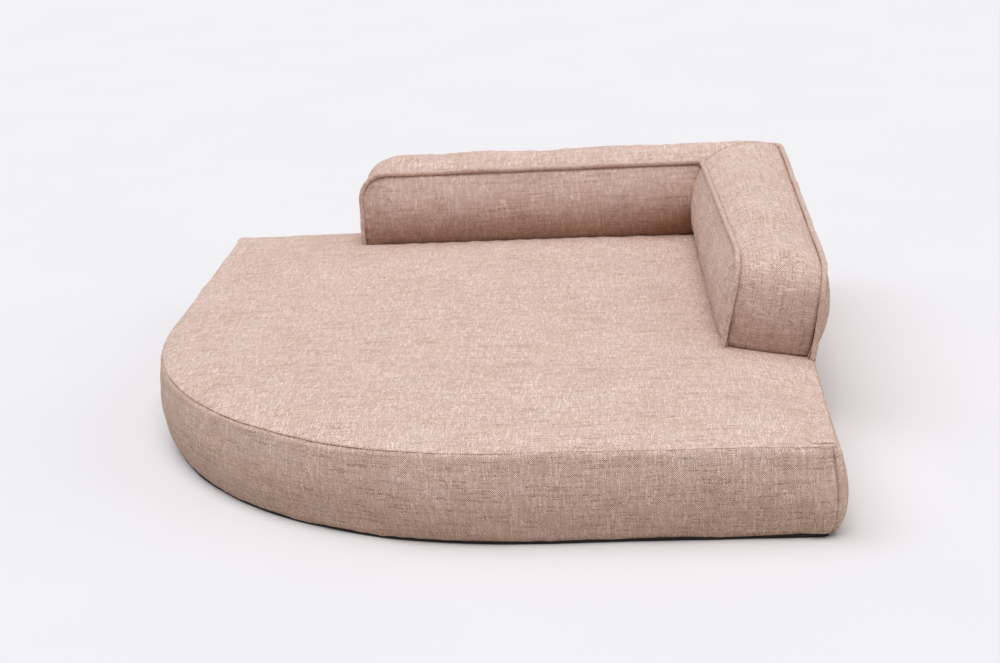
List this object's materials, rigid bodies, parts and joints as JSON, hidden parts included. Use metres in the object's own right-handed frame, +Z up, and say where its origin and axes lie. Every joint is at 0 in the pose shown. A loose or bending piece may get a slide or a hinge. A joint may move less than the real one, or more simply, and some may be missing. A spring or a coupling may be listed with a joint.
{
  "type": "bolster dog bed",
  "caption": "Corner dog bed: a foam mattress with one large round corner and an L-shaped padded bolster along its back and right edges, in zipped piped covers.",
  "frame": {"origin": "on the floor, under the middle of the mattress's outline rectangle", "axes": "+X towards the bolster's right leg, +Y towards its back leg, +Z up"},
  "size_m": [0.7894, 0.8835, 0.217],
  "materials": {
    "cover_cloth": "matte",
    "base_cloth": "matte",
    "foam": "matte",
    "piping_cord": "matte",
    "zip_tape": "matte",
    "zip_teeth": "satin",
    "zip_metal": "satin"
  },
  "bodies": {
    "bed": {"bolster_back_bottom_panel": "cover_cloth", "bolster_back_foam": "foam", "bolster_back_inner_panel": "cover_cloth", "bolster_back_outer_panel": "cover_cloth", "bolster_back_top_band": "cover_cloth", "bolster_back_zip_strip": "cover_cloth", "bolster_inner_piping_cord": "piping_cord", "bolster_inner_piping_cover": "cover_cloth", "bolster_outer_piping_cord": "piping_cord", "bolster_outer_piping_cover": "cover_cloth", "bolster_right_bottom_panel": "cover_cloth", "bolster_right_foam": "foam", "bolster_right_inner_panel": "cover_cloth", "bolster_right_outer_panel": "cover_cloth", "bolster_right_top_band": "cover_cloth", "bolster_zip_bottom_stop": "zip_teeth", "bolster_zip_lower_tape": "zip_tape", "bolster_zip_lower_teeth": "zip_teeth", "bolster_zip_top_stops": "zip_teeth", "bolster_zip_upper_tape": "zip_tape", "bolster_zip_upper_teeth": "zip_teeth", "mattress_back_band_lower": "cover_cloth", "mattress_back_band_upper": "cover_cloth", "mattress_base_cloth": "base_cloth", "mattress_foam": "foam", "mattress_front_band": "cover_cloth", "mattress_right_band": "cover_cloth", "mattress_top_panel": "cover_cloth", "mattress_zip_bottom_stop": "zip_teeth", "mattress_zip_lower_tape": "zip_tape", "mattress_zip_lower_teeth": "zip_teeth", "mattress_zip_top_stops": "zip_teeth", "mattress_zip_upper_tape": "zip_tape", "mattress_zip_upper_teeth": "zip_teeth"},
    "mattress_slider": {"mattress_zip_slider": "zip_metal"},
    "mattress_pull": {"mattress_zip_pull": "zip_metal"},
    "bolster_slider": {"bolster_zip_slider": "zip_metal"},
    "bolster_pull": {"bolster_zip_pull": "zip_metal"}
  },
  "joints": [
    {"name": "mattress_zip_slide", "type": "slide", "parent": "bed", "child": "mattress_slider", "axis": [-1, 0, 0], "range_m": [0, 0.6224]},
    {"name": "mattress_zip_pull_turn", "type": "hinge", "parent": "mattress_slider", "child": "mattress_pull", "pos_m": [0.3112, 0.4412, 0.05], "axis": [0, 0, -1], "range_deg": [0, 170]},
    {"name": "bolster_zip_slide", "type": "slide", "parent": "bed", "child": "bolster_slider", "axis": [-1, 0, 0], "range_m": [0, 0.4024]},
    {"name": "bolster_zip_pull_turn", "type": "hinge", "parent": "bolster_slider", "child": "bolster_pull", "pos_m": [0.2842, 0.43827, 0.1225], "axis": [0, 0, -1], "range_deg": [0, 170]}
  ]
}
